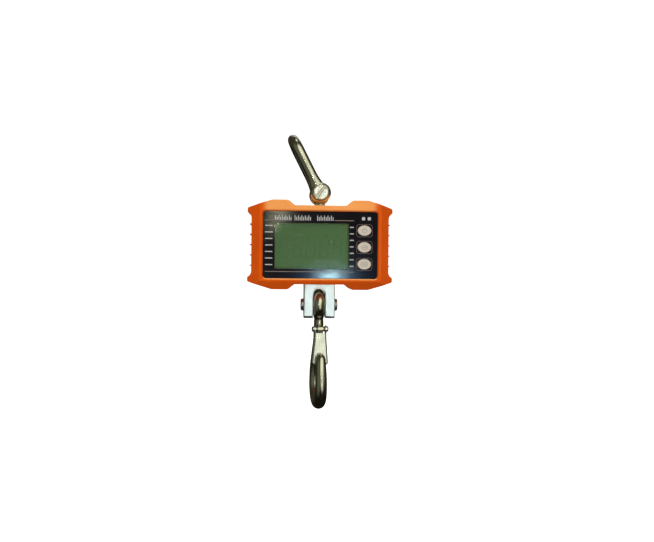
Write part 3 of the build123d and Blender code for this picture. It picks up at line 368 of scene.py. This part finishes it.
def rounded_loop(x, z, width, height, radius, steps=5):
    """A rounded rectangle as a closed loop of points, anticlockwise."""
    points = []
    corners = ((1, 1, 0), (-1, 1, 90), (-1, -1, 180), (1, -1, 270))
    for sx, sz, start in corners:
        cx = x + sx * (width / 2 - radius)
        cz = z + sz * (height / 2 - radius)
        for i in range(steps + 1):
            angle = radians(start + 90 * i / steps)
            points.append((cx + radius * cos(angle), cz + radius * sin(angle)))
    return points


def arc_points(x, z, radius, start, end, steps=20):
    """Points along an arc, in degrees."""
    angles = [radians(start + (end - start) * i / steps) for i in range(steps + 1)]
    return [(x + radius * cos(a), z + radius * sin(a)) for a in angles]


def arc_loop(x, z, radius, width, start, end):
    """A stroke along an arc, in degrees, as a closed loop."""
    outer = arc_points(x, z, radius + width / 2, start, end)
    inner = arc_points(x, z, radius - width / 2, start, end)
    return outer + inner[::-1]


def prism(bm, loop, y_front, y_back):
    """A flat closed slab with this outline, seen from -Y."""
    front = [bm.verts.new((x * MM, y_front * MM, z * MM)) for x, z in loop]
    back = [bm.verts.new((x * MM, y_back * MM, z * MM)) for x, z in loop]
    bm.faces.new(front)
    bm.faces.new(back[::-1])
    for i in range(len(loop)):
        j = (i + 1) % len(loop)
        bm.faces.new((front[j], front[i], back[i], back[j]))


def band(bm, outer, inner, y_front, y_back):
    """A flat ring between two loops of the same number of points."""
    rows = []
    for loop, y in ((outer, y_front), (inner, y_front), (inner, y_back), (outer, y_back)):
        rows.append([bm.verts.new((x * MM, y * MM, z * MM)) for x, z in loop])
    count = len(outer)
    for k in range(4):
        a, b = rows[k], rows[(k + 1) % 4]
        for i in range(count):
            j = (i + 1) % count
            bm.faces.new((a[i], a[j], b[j], b[i]))


def printed(name, loops, surface, material, body, rings=(), towards=-1, proud=PRINT):
    """Ink of these outlines on a surface at y, riding on a body. It faces the back if towards is 1."""
    bm = bmesh.new()
    y_front = surface + towards * proud
    y_back = surface - towards * SUNK
    for loop in loops:
        prism(bm, loop, y_front, y_back)
    for outer, inner in rings:
        band(bm, outer, inner, y_front, y_back)
    bmesh.ops.recalc_face_normals(bm, faces=bm.faces)
    bmesh.ops.triangulate(bm, faces=bm.faces)
    mesh = bpy.data.meshes.new(name)
    bm.to_mesh(mesh)
    bm.free()
    piece = bpy.data.objects.new(name, mesh)
    bpy.context.scene.collection.objects.link(piece)
    mesh.materials.append(material)
    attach(piece, body)
    return piece


TICK_COUNT = 7
LEFT_TICKS = (-62.4, -54.2, 21.6, -22.6)  # first x, last x, highest and lowest, from the panel's centre
RIGHT_TICKS = (33.4, 37.9, 20.4, -23.8)
TICK_HEIGHT = 1.1
RULES = ((-62.2, -52.6, 27.6), (16.0, 38.0, 27.9), (-62.5, 37.6, -30.4))  # first x, last x and height
RULE_HEIGHT = 0.7
HEADING_STARTS = (-51.0, -29.0, -3.4)
HEADING_MARKS = 10  # in each run
HEADING_PITCH = 1.95
HEADING_FOOT = 27.6
HEADING_TALL = 5.8
HEADING_SHORT = 4.0
SQUARE_STARTS = (48.8, 55.4)
SQUARE_SIDE = 3.6
DIGIT_COUNT = 5
DIGIT_PITCH = 15.0
DIGIT_SIZE = (9.4, 24.0)
DIGIT_BAR = 2.5
DIGIT_SLANT = 0.10


def tick_loops():
    """The two columns of bars beside the display."""
    loops = []
    for x0, x1, top, bottom in (LEFT_TICKS, RIGHT_TICKS):
        for i in range(TICK_COUNT):
            z = PANEL_Z + top + (bottom - top) * i / (TICK_COUNT - 1)
            loops.append(rounded_loop((x0 + x1) / 2, z, x1 - x0, TICK_HEIGHT, 0.2, 2))
    return loops


def rule_loops():
    """Thin rules above and below the display."""
    return [rounded_loop((a + b) / 2, PANEL_Z + z, b - a, RULE_HEIGHT, 0.15, 2) for a, b, z in RULES]


def heading_loops():
    """Three runs of ruler marks, long and short in turn, where a heading goes, and two small squares."""
    loops = []
    for start in HEADING_STARTS:
        for i in range(HEADING_MARKS):
            tall = HEADING_TALL if i % 2 == 0 else HEADING_SHORT
            x = start + HEADING_PITCH * i
            loops.append(rounded_loop(x, PANEL_Z + HEADING_FOOT + tall / 2, 0.9, tall, 0.25, 2))
    for x in SQUARE_STARTS:
        loops.append(rounded_loop(x, PANEL_Z + 30.4, SQUARE_SIDE, SQUARE_SIDE, 0.8, 3))
    return loops


def pointed_bar(x0, z0, x1, z1, half):
    """One level or upright bar of a digit, pointed at both ends, between two points."""
    if z0 == z1:
        low = [(x0, z0), (x0 + half, z0 - half), (x1 - half, z0 - half)]
        return low + [(x1, z1), (x1 - half, z1 + half), (x0 + half, z0 + half)]
    right = [(x0, z0), (x0 + half, z0 + half), (x1 + half, z1 - half)]
    return right + [(x1, z1), (x1 - half, z1 - half), (x0 - half, z0 + half)]


def seven_segment(x, z):
    """The seven bars of one display digit, leaning to the right."""
    half_w, half_h = DIGIT_SIZE[0] / 2, DIGIT_SIZE[1] / 2
    gap = 0.35
    bars = []
    for dz in (half_h, 0.0, -half_h):
        bars.append((x - half_w + gap, z + dz, x + half_w - gap, z + dz))
    for dx in (-half_w, half_w):
        for low in (-half_h, 0.0):
            bars.append((x + dx, z + low + gap, x + dx, z + low + half_h - gap))
    loops = []
    for ends in bars:
        outline = pointed_bar(*ends, DIGIT_BAR / 2)
        loops.append([(px + (pz - z) * DIGIT_SLANT, pz) for px, pz in outline])
    return loops


def ghost_digits():
    """The display's digits and their points, unlit, as a display shows them faintly."""
    loops = []
    first = WINDOW_X - DIGIT_PITCH * (DIGIT_COUNT - 1) / 2 - 1.0
    for i in range(DIGIT_COUNT):
        x = first + DIGIT_PITCH * i
        loops += seven_segment(x, WINDOW_Z - 1.0)
        if i < DIGIT_COUNT - 1:
            loops.append(rounded_loop(x + 6.9, WINDOW_Z - 13.6, 2.0, 2.0, 0.6, 2))
    return loops


def key_marks(node):
    """Where a key is, and the front of its cap."""
    low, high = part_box(node)
    return (low.x + high.x) / 2 / MM, (low.z + high.z) / 2 / MM, low.y / MM


key_frames = []
for node in ("power_button", "hold_button", "unit_button"):
    x, z, front = key_marks(node)
    outer = rounded_loop(x, z, 18.2, 14.4, 3.2)
    inner = rounded_loop(x, z, 17.4, 13.6, 2.8)
    key_frames.append((outer, inner))
    body = node
    if node == "power_button":
        loops = [arc_loop(x, z - 0.2, 2.5, 0.55, 120, 420), rounded_loop(x, z + 1.5, 0.6, 2.6, 0.25, 2)]
        rings = []
    elif node == "hold_button":
        loops = [rounded_loop(x, z, 3.4, 0.6, 0.25, 2)]
        rings = [(rounded_loop(x, z, 7.4, 4.6, 2.2), rounded_loop(x, z, 6.4, 3.6, 1.7))]
    else:
        loops = [rounded_loop(x + dx, z, 0.6, 2.2, 0.25, 2) for dx in (-1.5, 0.0, 1.5)]
        rings = [(rounded_loop(x, z, 7.6, 4.8, 1.2), rounded_loop(x, z, 6.6, 3.8, 0.8))]
    printed(node + "_mark", loops, front, ink_grey, body, rings)

printed("panel_ticks", tick_loops(), PANEL_FRONT, ink_white, "scale_body")
printed("panel_heading_marks", heading_loops(), PANEL_FRONT, ink_white, "scale_body")
printed("panel_rules", rule_loops(), PANEL_FRONT, ink_brown, "scale_body")
printed("key_outlines", [], PANEL_FRONT, ink_rose, "scale_body", key_frames)
printed("display_segments", ghost_digits(), LCD_FRONT, ghost, "scale_body", proud=0.006)

plate_low, plate_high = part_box("rating_plate")
plate_x = (plate_low.x + plate_high.x) / 2 / MM
plate_z = (plate_low.z + plate_high.z) / 2 / MM
plate_size = ((plate_high.x - plate_low.x) / MM - 2.4, (plate_high.z - plate_low.z) / MM - 2.4)
plate_ring = (
    rounded_loop(plate_x, plate_z, *plate_size, 1.4),
    rounded_loop(plate_x, plate_z, plate_size[0] - 0.7, plate_size[1] - 0.7, 1.1),
)
plate_lines = [rounded_loop(plate_x, plate_z + dz, 24.0, 0.35, 0.15, 2) for dz in (5.5, 1.8, -1.8, -5.5)]
plate_back = plate_high.y / MM
printed("rating_plate_lines", plate_lines, plate_back, ink_grey, "scale_body", [plate_ring], 1)


# ---------------------------------------------------------------- stage, light and camera


FLOOR_Z = -0.12
FLOOR_DEPTH = 1.2  # how far back it is flat
FLOOR_CURVE = 0.9
SIGHT = (1.0, 1.0, 1.0)  # what the camera sees beyond the floor
SOFT_LIGHT = (0.36, 0.36, 0.37)  # what lights dull surfaces from all round
ROOM = [
    (0.25, (0.010, 0.009, 0.006)),
    (0.48, (0.040, 0.036, 0.022)),
    (0.62, (0.042, 0.037, 0.022)),
    (0.95, (0.055, 0.050, 0.032)),
]  # what metal mirrors, from straight down to straight up

# Bright parts of the room: where, radius and softness in degrees, colour.
FRONT = ((0.40, -0.89, 0.22), 36.0, 10.0, (1.25, 1.23, 1.03))
FRONT_GAPS = (((0.85, -0.50, -0.15), 30.0, 14.0), ((0.03, -1.0, 0.02), 9.0, 4.0))
OTHERS = (
    ((-0.80, -0.60, -0.05), 30.0, 12.0, (0.10, 0.115, 0.09)),
    ((0.10, -0.10, 1.0), 7.0, 3.0, (3.0, 3.0, 2.4)),
    ((0.1, 0.7, 0.7), 20.0, 10.0, (0.6, 0.6, 0.58)),
)
# A window and its halo, seen in the foot of the panel: slopes to the right and up, size, colour.
GLARE = (
    ((0.060, -0.019), (0.036, 0.012), (2.5, 8.0, 19.0)),
    ((0.061, -0.018), (0.015, 0.010), (78.0, 125.0, 130.0)),
)
LAMPS = (
    # name, size, place, what it points at, watts, colour
    ("key", (0.45, 0.35), (-0.15, -0.65, 1.20), (0.0, 0.0, 0.15), 8.0, (1.0, 0.96, 0.86)),
    ("fill", (0.7, 0.9), (0.7, -1.2, 0.20), (0.0, 0.0, 0.15), 4.5, (0.96, 0.98, 1.0)),
    ("back_fill", (0.9, 0.7), (0.5, 1.1, 0.9), (0.0, 0.0, 0.15), 8.0, (1.0, 1.0, 1.0)),
    ("overhead", (0.40, 0.34), (0.02, 0.05, 1.15), (0.0, 0.0, 0.15), 4.0, (1.0, 0.92, 0.78)),
    ("underside", (0.60, 0.20), (0.0, -0.55, -0.10), (0.0, 0.0, 0.14), 1.6, (1.0, 0.92, 0.80)),
)


def area_light(name, size, location, target, power, colour):
    """A soft rectangular light aimed at a point, seen neither directly nor in reflections."""
    data = bpy.data.lights.new(name, "AREA")
    data.shape = "RECTANGLE"
    data.size, data.size_y = size
    data.energy = power
    data.color = colour
    lamp = bpy.data.objects.new(name, data)
    bpy.context.scene.collection.objects.link(lamp)
    lamp.location = location
    lamp.rotation_euler = (Vector(target) - Vector(location)).to_track_quat("-Z", "Y").to_euler()
    lamp.visible_camera = False
    lamp.visible_glossy = False


def floor_sweep():
    """White floor that curves up into a wall well behind the object. Metal doesn't mirror it."""
    bm = bmesh.new()
    profile = [(-3.0, 0.0), (FLOOR_DEPTH, 0.0)]
    for i in range(1, 13):
        angle = pi / 2 * i / 12
        profile.append((FLOOR_DEPTH + FLOOR_CURVE * sin(angle), FLOOR_CURVE * (1 - cos(angle))))
    profile.append((FLOOR_DEPTH + FLOOR_CURVE, 4.0))
    rows = []
    for y, z in profile:
        rows.append([bm.verts.new((x, y, z + FLOOR_Z)) for x in (-5.0, 5.0)])
    for a, b in zip(rows, rows[1:]):
        bm.faces.new((a[0], a[1], b[1], b[0]))
    mesh = bpy.data.meshes.new("floor")
    bm.to_mesh(mesh)
    bm.free()
    mesh.shade_smooth()
    floor = bpy.data.objects.new("floor", mesh)
    bpy.context.scene.collection.objects.link(floor)
    mat, tree, shader, obj = new_material("floor_pale")
    pale = ramp(tree, noise(tree, obj, 3.0, 4.0), [(0.3, 0.86), (0.7, 0.90)])
    tree.links.new(pale, shader.inputs["Base Color"])
    shader.inputs["Roughness"].default_value = 0.9
    shader.inputs["Emission Color"].default_value = (1.0, 1.0, 1.0, 1.0)
    shader.inputs["Emission Strength"].default_value = 0.72
    bump(tree, shader, noise(tree, obj, 220.0, 3.0), 0.05, 0.0004)
    mesh.materials.append(mat)
    floor.visible_glossy = False
    floor.visible_diffuse = False


def lobe(tree, direction, centre, radius, soft):
    """One inside a cone about centre and zero outside it, angles in degrees."""
    dot = tree.nodes.new("ShaderNodeVectorMath")
    dot.operation = "DOT_PRODUCT"
    tree.links.new(direction, dot.inputs[0])
    dot.inputs[1].default_value = Vector(centre).normalized()
    step = tree.nodes.new("ShaderNodeMapRange")
    step.interpolation_type = "SMOOTHSTEP"
    step.inputs["From Min"].default_value = cos(radians(radius + soft))
    step.inputs["From Max"].default_value = cos(radians(max(radius - soft, 0.0)))
    tree.links.new(dot.outputs["Value"], step.inputs["Value"])
    return step.outputs["Result"]


def spot(tree, u, w, centre, size):
    """A soft oval about a direction, given by its slopes to the right and upwards."""
    squares = []
    for slope, middle, reach in ((u, centre[0], size[0]), (w, centre[1], size[1])):
        away = math_node(tree, "DIVIDE", math_node(tree, "SUBTRACT", slope, middle), reach)
        squares.append(math_node(tree, "MULTIPLY", away, away))
    total = math_node(tree, "ADD", *squares)
    return math_node(tree, "EXPONENT", math_node(tree, "MULTIPLY", total, -1.0))


def scaled(tree, value, colour):
    """A colour times a number."""
    return mix(tree, 1.0, value, colour, "MULTIPLY")


def added(tree, a, b):
    """The sum of two colours."""
    return mix(tree, 1.0, a, b, "ADD")


def pale_corner(tree, u, w):
    """A three-cornered patch of wall, seen in the panel's top left corner."""
    slant = math_node(tree, "SUBTRACT", w, math_node(tree, "MULTIPLY", u, 1.4))
    patch = math_node(tree, "MULTIPLY", rise(tree, slant, 0.0715, 0.0800), rise(tree, u, -0.033, -0.026))
    return math_node(tree, "MULTIPLY", patch, spot(tree, u, w, (-0.018, 0.066), (0.05, 0.022)))


def studio_world():
    """White for sight, soft grey light, and a dim room with bright parts for metal and gloss to mirror."""
    world = bpy.data.worlds.new("studio")
    bpy.context.scene.world = world
    world.use_nodes = True
    tree = world.node_tree
    direction = tree.nodes.new("ShaderNodeTexCoord").outputs["Generated"]
    split = tree.nodes.new("ShaderNodeSeparateXYZ")
    tree.links.new(direction, split.inputs[0])
    depth = math_node(tree, "MAXIMUM", math_node(tree, "MULTIPLY", split.outputs["Y"], -1.0), 0.02)
    u = math_node(tree, "DIVIDE", split.outputs["X"], depth)
    w = math_node(tree, "DIVIDE", split.outputs["Z"], depth)
    height = math_node(tree, "ADD", math_node(tree, "MULTIPLY", split.outputs["Z"], 0.5), 0.5)
    seen = ramp(tree, height, ROOM)
    front = lobe(tree, direction, *FRONT[:3])
    for gap in FRONT_GAPS:
        dimmed = math_node(tree, "MULTIPLY", lobe(tree, direction, *gap), 0.85)
        kept = math_node(tree, "SUBTRACT", 1.0, dimmed)
        front = math_node(tree, "MULTIPLY", front, kept)
    seen = added(tree, seen, scaled(tree, front, FRONT[3]))
    for centre, radius, soft, colour in OTHERS:
        seen = added(tree, seen, scaled(tree, lobe(tree, direction, centre, radius, soft), colour))
    below = rise(tree, math_node(tree, "MULTIPLY", w, -1.0), 0.0095, 0.0130)
    for centre, size, colour in GLARE:
        glare = math_node(tree, "MULTIPLY", spot(tree, u, w, centre, size), below)
        seen = added(tree, seen, scaled(tree, glare, colour))
    seen = added(tree, seen, scaled(tree, pale_corner(tree, u, w), (25.0, 25.0, 17.5)))
    rays = tree.nodes.new("ShaderNodeLightPath")
    colour = mix(tree, rays.outputs["Is Glossy Ray"], SOFT_LIGHT, seen)
    colour = mix(tree, rays.outputs["Is Camera Ray"], colour, SIGHT)
    background = tree.nodes["Background"]
    tree.links.new(colour, background.inputs["Color"])
    background.inputs["Strength"].default_value = 1.0


floor_sweep()
studio_world()

for lamp in LAMPS:
    area_light(*lamp)

camera_data = bpy.data.cameras.new("camera")
camera = bpy.data.objects.new("camera", camera_data)
bpy.context.scene.collection.objects.link(camera)
bpy.context.scene.camera = camera
camera_data.lens = VIEW_LENS
camera_data.sensor_width = 36.0
camera_data.clip_start = 0.01
camera_data.shift_x, camera_data.shift_y = VIEW_SHIFT
azimuth = radians(VIEW_AZIMUTH)
camera.location = (VIEW_DISTANCE * sin(azimuth), -VIEW_DISTANCE * cos(azimuth), VIEW_HEIGHT)
turn = Matrix.Rotation(azimuth, 4, "Z") @ Matrix.Rotation(radians(90), 4, "X")
camera.rotation_euler = (turn @ Matrix.Rotation(radians(VIEW_ROLL), 4, "Z")).to_euler()
bpy.context.scene.view_settings.view_transform = "Standard"
